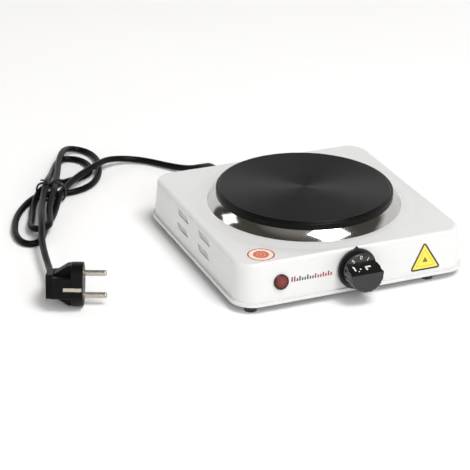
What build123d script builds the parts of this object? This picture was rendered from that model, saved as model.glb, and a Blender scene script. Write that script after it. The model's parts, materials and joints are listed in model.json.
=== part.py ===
"""Single electric hot plate: enamelled steel housing, cast-iron plate, knob, thermostat, cord and plug.

Millimetres, +Z up, the front panel towards -Y. The origin is on the table, under the middle of the
object measured without its cord. Each function builds one sub-part and is exported as one node.
"""

from build123d import *
import math
import os

# ---------------------------------------------------------------- housing
PLATE_Y = 10.3  # the plate's centre, behind the origin because the knob stands out in front
SHEET = 1.0  # enamelled sheet thickness
LIP_HALF = 107.2  # bottom lip, half of its square outline
LIP_Z0 = 6.5
LIP_Z1 = 9.25
LIP_CORNER_R = 20.0
WALL_FOOT = 105.3  # walls where they meet the lip, half width
TOP_X = 103.9  # walls at the top, half width
TOP_FRONT = 100.5  # front wall at the top, from the plate's centre
TOP_BACK = 102.3
TOP_Z = 42.8
CORNER_R = 18.0
TOP_EDGE_R = 3.2
EMBOSS_R0 = 97.0
EMBOSS_R1 = 89.0
EMBOSS_H = 0.7
HOB_HOLE_R = 80.0

VENT_LENGTH = 27.0
VENT_HEIGHT = 5.4
VENT_SLANT = 4.5
VENT_Y = 24.0
VENT_Z = (22.0, 34.8)

# ---------------------------------------------------------------- plate and ring
PLATE_R = 77.4
PLATE_TOP_Z = 57.1
PLATE_RIM_Z = 50.7
PLATE_UNDER_Z = 48.0
PLATE_BODY_R = 73.8
RING_FOOT_R = 85.0
RING_SHELF_R = 74.4
RING_SHEET = 0.6
STUD_R = 3.0
STUD_FREE = 0.02

# ---------------------------------------------------------------- front panel
PANEL_RISE = TOP_Z - LIP_Z1
PANEL_LEAN = math.degrees(math.atan2(WALL_FOOT - TOP_FRONT, PANEL_RISE))
KNOB_RISE = 16.0  # the knob's centre, up the panel from its foot
LAMP_X = -68.2
LAMP_RISE = 15.4
LAMP_HOLE_R = 5.2
SHAFT_R = 3.0
SHAFT_HOLE_R = 6.0
BEZEL_R = 17.5
BEZEL_W = (2.5, 4.2)  # the bezel's plate, measured out from the panel
POINTER_R = 19.2
KNOB_SKIRT_R = 14.2
KNOB_SKIRT_W = (4.7, 10.0)
KNOB_GRIP_R = 15.0
KNOB_FACE_W = 22.9
KNOB_FLUTES = 18
KNOB_FLUTE_R = 1.7
THERMOSTAT_W = (-4.0, -24.0)

# ---------------------------------------------------------------- feet and base
BASE_Z = 6.9
BASE_SHEET = 0.8
FOOT_R = 6.0
FRONT_FOOT_X = (-92.0, 72.0)
FOOT_Y = (PLATE_Y - 96.5, PLATE_Y + 92.0)

# ---------------------------------------------------------------- cord
CORD_R = 3.0
GLAND_X = -25.0
GLAND_Z = 20.0
GLAND_WALL_Y = PLATE_Y + TOP_BACK + (TOP_Z - GLAND_Z) / PANEL_RISE * (WALL_FOOT - TOP_BACK)
GLAND_TIP_Y = 145.0
# the lead from the gland to the side of the hank, and from the hank to the plug
LEAD = [
    (GLAND_X, GLAND_TIP_Y, GLAND_Z),
    (-25, 161, 20),
    (-28, 178, 12.5),
    (-37, 192, 6.0),
    (-50, 211, 3.7),
    (-66, 231.5, 3.6),
    (-85, 239.5, 5.5),
    (-104.5, 234.5, 9.5),
    (-116, 226, 10.8),
]
HANK_HEIGHT = 18.4
HANK_EXIT = (-214.0, 95.0, 14.2)
PLUG_CENTRE = (-215.6, -26.0, 18.4)  # the middle of its face
PLUG_TURN = -22.5
PLUG_LEAN = 10.0
PLUG_R = 18.3
PIN_R = 2.4
PIN_LENGTH = 19.0
PIN_ROOT_R = 3.2
PIN_HALF_PITCH = 9.5
BOOT_TURN = 10.0
BOOT_LENGTH = 17.0

FEET_XY = [(x, y) for x in FRONT_FOOT_X for y in FOOT_Y]


def solid(shape):
    """The shape as plain solids, without touching pieces being joined."""
    return Compound(children=list(shape.solids())) if len(shape.solids()) > 1 else shape.solids()[0]


def tube(points, radius, radii=None):
    """A round wire or cord along straight runs joined by tangent arcs."""
    path = Polyline(*points) if len(points) == 2 else FilletPolyline(*points, radius=radii)
    start = Plane(origin=path @ 0, z_dir=path % 0)
    return sweep(start * Circle(radius), path=path)


def corner_radii(points):
    """Arc radius at each corner: 0.45 of its shorter run over the tangent of half its turn."""
    radii = []
    for before, here, after in zip(points, points[1:], points[2:]):
        a = Vector(*here) - Vector(*before)
        b = Vector(*after) - Vector(*here)
        half_turn = math.radians(a.get_angle(b)) / 2
        radii.append(0.45 * min(a.length, b.length) / math.tan(half_turn))
    return radii


def panel_plane():
    """The front panel's outer face: x to the right, y up the panel, z outwards, at the knob's axis."""
    lean = math.radians(PANEL_LEAN)
    foot = Vector(0, PLATE_Y - WALL_FOOT, LIP_Z1)
    up = Vector(0, math.sin(lean), math.cos(lean))
    out = Vector(0, -math.cos(lean), math.sin(lean))
    return Plane(origin=foot + up * KNOB_RISE, x_dir=(1, 0, 0), z_dir=out)


PANEL = panel_plane()
LAMP_UP = LAMP_RISE - KNOB_RISE


def on_panel(shape, x=0.0, up=0.0, out=0.0):
    return PANEL.location * Pos(x, up, out) * shape


def disc(radius, low, high):
    """A cylinder along the panel's outward axis between two distances."""
    return Pos(0, 0, (low + high) / 2) * Cylinder(radius, high - low)


def post(radius, low, high, x=0.0, y=0.0):
    """A vertical cylinder between two heights."""
    return Pos(x, y, (low + high) / 2) * Cylinder(radius, high - low)


def block(x0, x1, y0, y1, z0, z1):
    return Pos((x0 + x1) / 2, (y0 + y1) / 2, (z0 + z1) / 2) * Box(x1 - x0, y1 - y0, z1 - z0)


# ================================================================ housing
def tapered_box(inset, z0, z1):
    """The housing's tapered walls as a solid, inset from the outer face and cut at two heights."""

    def section(z):
        t = (z - LIP_Z1) / PANEL_RISE
        half_x = WALL_FOOT + (TOP_X - WALL_FOOT) * t - inset
        front = WALL_FOOT + (TOP_FRONT - WALL_FOOT) * t - inset
        back = WALL_FOOT + (TOP_BACK - WALL_FOOT) * t - inset
        outline = RectangleRounded(2 * half_x, front + back, CORNER_R - inset)
        return Plane.XY.offset(z) * Pos(0, PLATE_Y + (back - front) / 2) * outline

    return loft([section(z0), section(z1)])


def lip_slab(half, z0, z1, corner):
    return Pos(0, PLATE_Y, z0) * extrude(RectangleRounded(2 * half, 2 * half, corner), z1 - z0)


def vent_cutter(z, y):
    """A slot with slanted ends, through both side walls."""
    half = VENT_LENGTH / 2
    rise = VENT_HEIGHT / 2
    outline = Polyline(
        (-half, -rise), (half - VENT_SLANT, -rise), (half, rise), (-half + VENT_SLANT, rise), (-half, -rise)
    )
    face = fillet(make_face(outline).vertices(), 0.9)
    side = Plane(origin=(-130, PLATE_Y + y, z), x_dir=(0, 1, 0), z_dir=(1, 0, 0))
    return extrude(side * face, 260)


def housing_shell():
    outer = tapered_box(0, LIP_Z1 - 0.5, TOP_Z)
    rim = outer.edges().filter_by(lambda e: abs(e.center().Z - TOP_Z) < 0.01)
    outer = fillet(rim, TOP_EDGE_R)
    outer += lip_slab(LIP_HALF, LIP_Z0, LIP_Z1, LIP_CORNER_R)
    inner = tapered_box(SHEET, LIP_Z0 - 1, TOP_Z - SHEET)
    inner_rim = inner.edges().filter_by(lambda e: abs(e.center().Z - TOP_Z + SHEET) < 0.01)
    inner = fillet(inner_rim, TOP_EDGE_R - SHEET)
    inner += lip_slab(LIP_HALF - SHEET, LIP_Z0 - 1, LIP_Z1 - SHEET, LIP_CORNER_R - SHEET)
    shell = outer - inner
    emboss = Pos(0, PLATE_Y, TOP_Z + EMBOSS_H / 2) * Cone(EMBOSS_R0, EMBOSS_R1, EMBOSS_H)
    shell += emboss
    shell -= Pos(0, PLATE_Y, TOP_Z - SHEET + EMBOSS_H / 2) * Cone(EMBOSS_R0, EMBOSS_R1, EMBOSS_H)
    shell -= post(HOB_HOLE_R, TOP_Z - 5, TOP_Z + 5, 0, PLATE_Y)
    for z in VENT_Z:
        for y in (-VENT_Y, VENT_Y):
            shell -= vent_cutter(z, y)
    shell -= on_panel(disc(SHAFT_HOLE_R, -5, 5))
    shell -= on_panel(disc(LAMP_HOLE_R, -5, 5), LAMP_X, LAMP_UP)
    for side in (-1, 1):
        shell -= on_panel(disc(1.7, -5, 5), side * 9.0)
    shell -= Pos(GLAND_X, GLAND_WALL_Y, GLAND_Z) * Rot(90, 0, 0) * Cylinder(5.7, 12)
    return shell


def base_plate():
    """Galvanised sheet that closes the bottom, with a turned-up edge and two rows of air slots."""
    half = LIP_HALF - SHEET - 0.4
    plate = lip_slab(half, BASE_Z, BASE_Z + BASE_SHEET, LIP_CORNER_R - 1.4)
    for x in (-36, 0, 36):
        for y in (-38, 38):
            plate -= Pos(x, PLATE_Y + y, BASE_Z) * extrude(SlotOverall(26, 4), 3, both=True)
    for x, y in FEET_XY:
        plate -= post(1.8, BASE_Z - 2, BASE_Z + 3, x, y)
    return plate


def corner_brackets():
    """Small angle pieces welded inside the walls, which take the foot screws."""
    low, top = BASE_Z + BASE_SHEET + 0.02, BASE_Z + 2.3
    group = []
    for x, y in FEET_XY:
        end = -1 if y < PLATE_Y else 1
        reach = PLATE_Y + end * (WALL_FOOT - 2.9)
        foot = block(x - 6, x + 12, y - 3, y + 3, low, top)
        leg = block(x, x + 12, min(y, reach), max(y, reach), low, top)
        inner = reach - end * 1.5
        upright = block(x, x + 12, min(reach, inner), max(reach, inner), low, BASE_Z + 9)
        group.append(solid(foot + leg + upright - post(1.55, BASE_Z, BASE_Z + 6, x, y)))
    return Compound(children=group)


def rubber_feet():
    """Four moulded feet, slightly tapered, each with a recess for its screw head."""
    group = []
    for x, y in FEET_XY:
        foot = Pos(x, y, BASE_Z / 2) * Cone(FOOT_R - 0.9, FOOT_R, BASE_Z)
        foot -= post(3.2, -1, 3.0, x, y)
        foot -= post(1.7, 2, BASE_Z + 1, x, y)
        group.append(solid(foot))
    return Compound(children=group)


def foot_screws():
    group = []
    for x, y in FEET_XY:
        screw = post(2.8, 1.2, 3.0, x, y) + post(1.5, 3.0, BASE_Z + 5, x, y)
        group.append(solid(screw))
    return Compound(children=group)


# ================================================================ plate
def trim_ring():
    """Polished ring of thin sheet: a foot on the housing, a nearly straight sloping band and a shelf for the plate."""
    z0 = TOP_Z + EMBOSS_H
    crest = PLATE_RIM_Z - 0.05
    t = RING_SHEET
    with BuildSketch(Plane.XZ) as profile:
        with BuildLine():
            a = Line((RING_SHELF_R, z0 - 3.4), (RING_SHELF_R, crest))
            b = Line(a @ 1, (77.2, crest))
            c = ThreePointArc(b @ 1, (81.34, crest - 3.32), (RING_FOOT_R, z0))
            d = Line(c @ 1, (RING_FOOT_R - t, z0))
            e = ThreePointArc(d @ 1, (81.04, crest - 3.62), (77.2, crest - t))
            f = Line(e @ 1, (RING_SHELF_R + t, crest - t))
            g = Line(f @ 1, (RING_SHELF_R + t, z0 - 3.4))
            Line(g @ 1, a @ 0)
        make_face()
    return Pos(0, PLATE_Y, 0) * revolve(profile.sketch, Axis.Z)


GROOVES = (26.0, 44.0, 62.0)
GROOVE_W = 7.0
GROOVE_TOP = PLATE_UNDER_Z + 5.5


def cooking_plate():
    """Cast-iron disc with a bevelled rim that rests on the ring, three grooves and a centre boss below."""
    with BuildSketch(Plane.XZ) as profile:
        with BuildLine():
            Polyline(
                (0, PLATE_TOP_Z - 0.5), (25, PLATE_TOP_Z),
                (PLATE_R - 3.0, PLATE_TOP_Z), (PLATE_R - 2.2, PLATE_TOP_Z - 0.7),
                (PLATE_R - 0.5, PLATE_TOP_Z - 0.9), (PLATE_R, PLATE_TOP_Z - 1.5),
                (PLATE_R, PLATE_RIM_Z), (PLATE_BODY_R, PLATE_RIM_Z),
                (PLATE_BODY_R, PLATE_UNDER_Z), (9, PLATE_UNDER_Z), (9, 43.0), (0, 43.0),
                close=True,
            )
        make_face()
    plate = revolve(profile.sketch, Axis.Z)
    for radius in GROOVES:
        channel = post(radius + GROOVE_W / 2, PLATE_UNDER_Z - 1, GROOVE_TOP)
        plate -= channel - post(radius - GROOVE_W / 2, PLATE_UNDER_Z - 2, GROOVE_TOP + 1)
    plate -= post(STUD_R + STUD_FREE, 40, PLATE_TOP_Z - 4)
    return Pos(0, PLATE_Y, 0) * plate


def heating_coil():
    """The heating windings, one closed turn in each groove, as the coil's outer tube."""
    rings = [Pos(0, PLATE_Y, GROOVE_TOP - 2.6) * Torus(radius, 1.9) for radius in GROOVES]
    return Compound(children=[solid(r) for r in rings])


def insulating_filler():
    """Pressed magnesia that holds the windings in the grooves."""
    group = []
    for radius in GROOVES:
        half = GROOVE_W / 2 - 0.02
        ring = post(radius + half, PLATE_UNDER_Z + 0.1, GROOVE_TOP - 0.02)
        ring -= post(radius - half, PLATE_UNDER_Z - 1, GROOVE_TOP + 1)
        ring -= Pos(0, 0, GROOVE_TOP - 2.6) * Torus(radius, 1.92)
        group.append(solid(Pos(0, PLATE_Y, 0) * ring))
    return Compound(children=group)


PAN_Z = 45.4


def heat_shield():
    """Shallow sheet pan under the plate, clamped by the boss side, with a turned-up edge."""
    pan = post(70.0, PAN_Z, PAN_Z + 0.6) + (post(70.0, PAN_Z, PLATE_UNDER_Z - 0.02) - post(69.4, PAN_Z, PLATE_UNDER_Z))
    pan -= post(9.1, PAN_Z - 1, PAN_Z + 2)
    for x in (20.0, 30.0, 40.0):
        pan -= post(2.1, PAN_Z - 1, PAN_Z + 2, x, 35.0)
    return Pos(0, PLATE_Y, 0) * pan


def centre_stud():
    return post(STUD_R, 23.0, PLATE_TOP_Z - 4.5, 0, PLATE_Y)


STRAP_Z = 32.0


def clamp_strap():
    """Sprung cross strap under the housing's top, which the centre nut pulls down the plate with."""
    z_end = TOP_Z - SHEET - 0.05
    points = [(-95, z_end), (-84, z_end), (-60, STRAP_Z + 2), (60, STRAP_Z + 2), (84, z_end), (95, z_end),
              (95, z_end - 2), (83, z_end - 2), (59, STRAP_Z), (-59, STRAP_Z), (-83, z_end - 2), (-95, z_end - 2)]
    face = make_face(Polyline(*points, close=True))
    strap = extrude(Plane.XZ * face, 11, both=True)
    strap -= post(STUD_R + 0.3, 20, 50)
    return Pos(0, PLATE_Y, 0) * strap


def clamp_washer():
    return Pos(0, PLATE_Y, 0) * (post(6.5, STRAP_Z - 1.25, STRAP_Z - 0.02) - post(STUD_R + 0.25, 20, 50))


def clamp_nut():
    low = STRAP_Z - 6.3
    body = Pos(0, 0, low) * extrude(RegularPolygon(5.77, 6), 5.0)
    return Pos(0, PLATE_Y, 0) * (body - post(STUD_R + STUD_FREE, 10, 50))


TERMINAL_X = (20.0, 30.0, 40.0)
TERMINAL_Y = PLATE_Y + 35.0


def plate_terminal_block():
    """Glazed ceramic block under the pan, which carries the windings' tails."""
    body = block(13, 47, TERMINAL_Y - 7, TERMINAL_Y + 7, PAN_Z - 9.0, PAN_Z - 0.02)
    body = fillet(body.edges().filter_by(Axis.Z), 2.0)
    for x in TERMINAL_X:
        body -= post(1.6, PAN_Z - 12, PAN_Z + 1, x, TERMINAL_Y)
    return body


def plate_terminals():
    """Three pins through the block, with a flat blade below for each push-on connector."""
    group = []
    for x in TERMINAL_X:
        pin = post(1.5, PAN_Z - 10.5, PLATE_UNDER_Z - 0.4, x, TERMINAL_Y)
        blade = block(x - 0.4, x + 0.4, TERMINAL_Y - 3.1, TERMINAL_Y + 3.1, PAN_Z - 19, PAN_Z - 10.0)
        group.append(solid(pin + blade))
    return Compound(children=group)


def thermal_cutout():
    """Round one-shot cut-out clipped under the pan, with its two blades."""
    x, y = -38.0, PLATE_Y + 30.0
    body = post(8.0, PAN_Z - 6.0, PAN_Z - 0.02, x, y) + post(5.0, PAN_Z - 9.0, PAN_Z - 5.0, x, y)
    blades = [block(x + s * 4 - 0.4, x + s * 4 + 0.4, y - 3, y + 3, PAN_Z - 15, PAN_Z - 8.9) for s in (-1, 1)]
    return body + blades[0] + blades[1]


# ================================================================ thermostat and knob
def thermostat_bracket():
    """Steel bracket screwed to the back of the panel."""
    low = THERMOSTAT_W[0]
    plate = Pos(0, 0, low + 2.1) * Box(32, 16, 1.2)
    plate += Pos(0, 0, low + 0.75) * Box(14, 16, 1.5)
    plate -= disc(4.6, -10, 0)
    for side in (-1, 1):
        plate -= Pos(side * 9.0, 0, 0) * disc(1.35, -10, 0)
    return on_panel(plate)


def thermostat_screws():
    """Two pan-head screws from outside, hidden under the bezel."""
    group = []
    for side in (-1, 1):
        screw = disc(2.8, 0.02, 1.7) + disc(1.3, -5.5, 0.1)
        group.append(solid(on_panel(screw, side * 9.0)))
    return Compound(children=group)


def thermostat_body():
    """Ceramic body of the bimetal thermostat, with the bushing that the shaft turns in."""
    front, back = THERMOSTAT_W
    body = Pos(0, 0, (front + back) / 2) * Box(28, 24, front - back)
    body = fillet(body.edges().filter_by(Axis.Z), 2.0)
    body += disc(4.5, front - 0.5, -1.1)
    body -= disc(SHAFT_R + 0.05, -18.05, 0)
    for side in (-1, 1):
        body -= Pos(side * 9.0, 0, 0) * disc(1.5, -6.5, 0)
    return on_panel(body)


def thermostat_terminals():
    """Two brass blades out of the back of the body."""
    back = THERMOSTAT_W[1]
    group = []
    for side in (-1, 1):
        blade = Pos(side * 8.0, 0, back - 5.0) * Box(6.3, 0.8, 10 - 0.04)
        group.append(solid(on_panel(blade)))
    return Compound(children=group)


def thermostat_shaft():
    """Steel spindle with a flat at its outer end."""
    shaft = disc(SHAFT_R, -18.0, 14.0)
    shaft -= Pos(0, SHAFT_R - 0.6, 10.0) * Box(8, 1.2, 8.2)
    return on_panel(shaft)


def knob_spring_clip():
    """Leaf of spring steel between the shaft's flat and the knob."""
    return on_panel(Pos(0, SHAFT_R - 0.6, 10.2) * Box(2.4, 0.5, 7.2))


def knob_bezel():
    """Round moulded bezel behind the knob, with the fixed pointer tab at its top."""
    low, high = BEZEL_W
    plate = disc(BEZEL_R, low, high)
    plate = fillet(plate.edges().filter_by(lambda e: abs(e.center().Z - high) < 0.01), 0.6)
    raised = disc(BEZEL_R - 0.5, high - 0.3, high + 0.35) - disc(BEZEL_R - 1.5, high - 1, high + 1)
    collar = disc(13.6, 0.02, low + 0.2) - disc(12.2, -1, low)
    tip = Polyline((-3.6, 16.4), (0.0, POINTER_R + 0.4), (3.6, 16.4), close=True)
    tab = extrude(Pos(0, 0, low) * fillet(make_face(tip).vertices().sort_by(Axis.Y)[-1], 0.7), high - low + 0.5)
    return on_panel(plate + raised + collar + tab - disc(SHAFT_R + 3.6, -1, 10))


def control_knob():
    """Moulded knob: round skirt, and a half-round fluted grip with a sloping finger face."""
    low, skirt_top = KNOB_SKIRT_W
    skirt = disc(KNOB_SKIRT_R, low, skirt_top)
    skirt = fillet(skirt.edges().filter_by(lambda e: abs(e.center().Z - skirt_top) < 0.01), 1.0)
    grip = disc(KNOB_GRIP_R, skirt_top - 1.5, KNOB_FACE_W)
    grip = fillet(grip.edges().filter_by(lambda e: abs(e.center().Z - KNOB_FACE_W) < 0.01), 0.8)
    for i in range(KNOB_FLUTES):
        turn = Rot(0, 0, (i + 0.5) * 360 / KNOB_FLUTES)
        grip -= turn * Pos(KNOB_GRIP_R + 0.95, 0, 0) * disc(KNOB_FLUTE_R, skirt_top, KNOB_FACE_W + 2)
    slope = Polyline((1.0, KNOB_FACE_W + 3), (1.0, KNOB_FACE_W), (8.0, skirt_top - 0.4), (30, skirt_top - 0.4),
                     (30, KNOB_FACE_W + 3), close=True)
    grip -= extrude(Plane.YZ * make_face(slope), 30, both=True)
    knob = skirt + grip
    knob -= disc(12.0, low - 1, low + 2.0) - disc(5.4, low - 2, low + 3)
    knob -= disc(SHAFT_R + 0.02, low - 1, 14.3)
    return on_panel(knob)


def indicator_lens():
    """Red moulded lens with a domed head and a hollow stem through the panel."""
    head = disc(6.6, 0.02, 1.4)
    dome_r = (6.6 ** 2 + 1.5 ** 2) / (2 * 1.5)
    dome = (Pos(0, 0, 1.4 + 1.5 - dome_r) * Sphere(dome_r)) & disc(6.6, 1.4, 4)
    stem = disc(5.0, -9.0, 0.1)
    lens = head + dome + stem - disc(3.3, -10, -1.0)
    return on_panel(lens, LAMP_X, LAMP_UP)


def neon_lamp():
    """Small glass glow lamp inside the lens's stem."""
    lamp = disc(2.8, -15.0, -4.2)
    lamp = fillet(lamp.edges().filter_by(GeomType.CIRCLE), 1.2)
    return on_panel(lamp, LAMP_X, LAMP_UP)


# ================================================================ wiring
BLOCK_Z = BASE_Z + BASE_SHEET + 0.02
BLOCK_TOP = BLOCK_Z + 17.0
BLOCK_Y = (PLATE_Y + 52.0, PLATE_Y + 70.0)
BLOCK_X = (-35.0, -25.0, -15.0)
WIRE_R = 1.3
THERMOSTAT_WIRE_Y = -57.5


def mains_terminal_block():
    """Three-way screw terminal block on the base plate."""
    body = block(BLOCK_X[0] - 5, BLOCK_X[-1] + 5, BLOCK_Y[0], BLOCK_Y[1], BLOCK_Z, BLOCK_TOP)
    for x in BLOCK_X:
        body -= Pos(x, sum(BLOCK_Y) / 2, GLAND_Z - 4) * Rot(90, 0, 0) * Cylinder(WIRE_R + 0.3, 40)
        body -= post(2.2, GLAND_Z - 3, BLOCK_TOP + 1, x, sum(BLOCK_Y) / 2)
    return body


def terminal_screws():
    y = sum(BLOCK_Y) / 2
    return Compound(children=[solid(post(2.1, GLAND_Z - 2.6, BLOCK_TOP - 1.2, x, y)) for x in BLOCK_X])


CLAMP_Y = PLATE_Y + 84.0


def cord_clamp():
    """Plastic saddle that grips the cord just inside the wall."""
    body = block(GLAND_X - 11, GLAND_X + 11, CLAMP_Y - 4, CLAMP_Y + 4, BLOCK_Z, GLAND_Z + 6.5)
    body = fillet(body.edges().filter_by(Axis.Y).sort_by(Axis.Z)[-2:], 3.0)
    body -= Pos(GLAND_X, CLAMP_Y, GLAND_Z) * Rot(90, 0, 0) * Cylinder(CORD_R + 0.02, 20)
    return body


def inner_cord():
    """The sheathed end of the cord inside the housing."""
    y0, y1 = BLOCK_Y[1] + 4.0, GLAND_WALL_Y - 3.35
    return Pos(GLAND_X, (y0 + y1) / 2, GLAND_Z) * Rot(90, 0, 0) * Cylinder(CORD_R, y1 - y0)


def cord_gland():
    """Rubber strain relief: an inner flange, a neck through the wall, and a long tapered boot."""
    wall = GLAND_WALL_Y
    sections = [(wall - 3.3, 7.4), (wall - 1.75, 7.4), (wall - 1.75, 5.5), (wall + 0.8, 5.5), (wall + 0.8, 8.2),
                (wall + 3.2, 8.0), (wall + 5.5, 6.4), (GLAND_TIP_Y, CORD_R + 1.3)]
    with BuildSketch(Plane.YZ) as profile:
        with BuildLine():
            Polyline((wall - 3.3, 0), *sections, (GLAND_TIP_Y, 0), close=True)
        make_face()
    boot = revolve(profile.sketch, Axis.Y)
    for i in range(3):
        y = wall + 10.5 + i * 6.5
        ring = Pos(0, y, 0) * Rot(90, 0, 0) * (Cylinder(9, 1.6) - Cylinder(3.9, 3))
        boot -= ring
    return Pos(GLAND_X, 0, GLAND_Z) * boot


def earth_screw():
    """Earth screw with its ring tag on the base plate."""
    x, y = 14.0, PLATE_Y + 66.0
    tag = post(4.2, BLOCK_Z, BLOCK_Z + 0.8, x, y) - post(2.05, 0, 30, x, y)
    screw = post(3.6, BLOCK_Z + 0.82, BLOCK_Z + 3.2, x, y) + post(2.0, BLOCK_Z, BLOCK_Z + 0.9, x, y)
    tail = block(x - 12, x - 3.9, y - 1.2, y + 1.2, BLOCK_Z, BLOCK_Z + 0.8)
    return screw + tag + tail


def wires():
    """Insulated single wires, each from end to end clear of what it passes."""
    z = GLAND_Z - 4
    y0 = BLOCK_Y[0] + 6.0
    near = THERMOSTAT_WIRE_Y
    cores = {
        "live_wire": [(-35, y0, z), (-35, PLATE_Y + 34, z), (-52, PLATE_Y, 20), (-30, -46, 18), (-8.5, near, 20.3)],
        "neutral_wire": [(-25, y0, z), (-25, PLATE_Y + 38, z), (4, PLATE_Y + 24, 20), (30, TERMINAL_Y - 12, 22)],
        "switched_wire": [(8.5, near, 20.3), (30, -44, 18), (48, -12, 20), (46, 22, 22), (41, TERMINAL_Y - 9, 24)],
        "earth_wire": [(-15, y0, z), (-15, 51, z), (-4, 45, 12.5), (0.5, 58, 9.4), (0.5, 73, 9.4)],
        "lamp_wire": [(-66, -74, 26), (-56, -58, 24), (-40, -52, 20), (-33, -47, 20)],
    }
    return {name: tube(points, WIRE_R, [5.0] * (len(points) - 2)) for name, points in cores.items()}


# ================================================================ cord and plug
def cord_lead():
    """The cord from the gland down to the table and round to the hank."""
    radii = corner_radii(LEAD)
    print("cord_lead arc radii", [round(r, 1) for r in radii])
    return tube(LEAD, CORD_R, radii)


def cord_hank():
    """Outer shape of the figure-eight hank: two flat lobes and the waist that the tie holds."""
    lobes = Pos(-142, 231, 0) * Rot(0, 0, 64) * extrude(Ellipse(59, 32), HANK_HEIGHT)
    lobes += Pos(-205, 141, 0) * Rot(0, 0, 66) * extrude(Ellipse(59, 27), HANK_HEIGHT)
    waist = Pos(-178, 180, 0) * Rot(0, 0, 62) * extrude(RectangleRounded(60, 27, 8), HANK_HEIGHT)
    return Pos(0, 0, 0.1) * (lobes + waist)


def hank_tie():
    """Plastic-covered wire round the waist, with its two twisted ends on top."""
    across = Plane(origin=(-178, 180, HANK_HEIGHT / 2 + 0.1), x_dir=(0.883, -0.469, 0), z_dir=(0.469, 0.883, 0))
    half_w, half_h = 13.5, HANK_HEIGHT / 2
    band = extrude(RectangleRounded(2 * half_w + 2.4, 2 * half_h + 2.2, 1.5), 1.1, both=True)
    band -= extrude(Rectangle(2 * half_w + 0.06, 2 * half_h + 0.06), 3, both=True)
    band = across.location * band
    band = band & block(-230, -120, 140, 230, 0.4, 40)
    top = HANK_HEIGHT + 1.2
    ends = [
        tube([(-178, 180, top), (-186, 186, top + 2.5), (-192, 189, top + 1.0)], 0.8, [6]),
        tube([(-178, 180, top), (-171, 176, top + 3.0), (-165, 171, top + 1.5)], 0.8, [6]),
    ]
    return solid(band + ends[0] + ends[1] + Pos(-178, 180, top) * Sphere(1.6))


PLUG = Pos(*PLUG_CENTRE) * Rot(0, 0, PLUG_TURN) * Rot(-PLUG_LEAN, 0, 0)
BOOT = PLUG * Pos(-26, 7.5, 0) * Rot(0, 0, BOOT_TURN)


def plug_body():
    """Moulded plug: a round face plate, a sloping web and a square grip behind it, an end tab, and the boot leaving at its side."""
    face = Pos(-5.0, 0, 0) * Rot(0, 90, 0) * Cylinder(PLUG_R, 10.0)
    face = fillet(face.edges().filter_by(GeomType.CIRCLE), 0.9)
    outline = Polyline(
        (-8.0, 17.2), (-13.0, 16.8), (-24.5, 9.6), (-24.5, -9.6), (-13.0, -16.8), (-8.0, -17.2), (-8.0, 17.2)
    )
    web = extrude(Plane.XZ * make_face(outline), 5.6, both=True)
    grip = Pos(-16.75, 0, 0) * Box(17.5, 34.6, 17.6)
    grip = fillet(grip.edges().filter_by(Axis.X), 2.2)
    tab = Pos(-27.7, 0, 0) * Box(5.6, 24.0, 20.6)
    tab = fillet(tab.edges().filter_by(Axis.X), 3.0)
    body = face + web + grip + tab
    for side in (-1, 1):
        body -= Pos(-5.5, 0, side * PIN_HALF_PITCH) * Rot(0, 90, 0) * Cylinder(PIN_ROOT_R + 0.02, 11.1)
        body -= Pos(-9.0, side * (PLUG_R + 0.3), 0) * Box(17, 3.0, 3.1)
    boot_axis = Rot(-90, 0, 0)
    boot = Pos(-26, 7.5, 0) * Rot(0, 0, BOOT_TURN) * Pos(0, BOOT_LENGTH / 2, 0) * boot_axis
    body += boot * Cone(6.4, CORD_R + 1.0, BOOT_LENGTH)
    return solid(PLUG * body)


def plug_pins():
    """Two solid round pins with rounded tips, each on a thicker root inside the moulding."""
    group = []
    for side in (-1, 1):
        pin = Pos(PIN_LENGTH / 2, 0, 0) * Rot(0, 90, 0) * Cylinder(PIN_R, PIN_LENGTH)
        pin = fillet(pin.edges().filter_by(GeomType.CIRCLE).sort_by(Axis.X)[-1], 1.6)
        root = Pos(-5.0, 0, 0) * Rot(0, 90, 0) * Cylinder(PIN_ROOT_R, 10.0)
        group.append(solid(PLUG * Pos(0, 0, side * PIN_HALF_PITCH) * (pin + root)))
    return Compound(children=group)


def plug_earth_clips():
    """The two sprung side contacts, bent from brass strip and let into the plug's rim."""
    group = []
    for side in (-1, 1):
        strip = Pos(-8.35, side * (PLUG_R - 0.6), 0) * Box(15.1, 1.0, 3.0)
        bump = Pos(-4.0, side * (PLUG_R - 0.1), 0) * Box(4.6, 0.7, 3.0)
        group.append(solid(PLUG * (strip + bump)))
    return Compound(children=group)


def plug_lead():
    """The cord from the hank to the plug's boot, held off the table by the plug."""
    tip = BOOT * Pos(0, BOOT_LENGTH, 0)
    ahead = tip * Pos(0, 16, 0)
    points = [HANK_EXIT, (-221, 71, 12.7), (-225.5, 49, 12.0), tuple(ahead.position), tuple(tip.position)]
    radii = corner_radii(points)
    print("plug_lead points", [[round(v, 1) for v in p] for p in points])
    print("plug_lead arc radii", [round(r, 1) for r in radii])
    return tube(points, CORD_R, radii)


def round_sticker():
    """Thin paper sticker on the housing's top, near its front left corner."""
    return post(12.5, TOP_Z + 0.01, TOP_Z + 0.16, -78.5, PLATE_Y - 85.0)


def triangle_sticker():
    """Thin rounded-triangle sticker on the front panel."""
    corners = [(-14.9, -11.3), (14.9, -11.3), (0, 13.8)]
    face = fillet(make_face(Polyline(*corners, close=True)).vertices(), 1.8)
    return on_panel(Pos(0, 0, 0.01) * extrude(face, 0.15), 65.3, 14.2 - KNOB_RISE)


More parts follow.
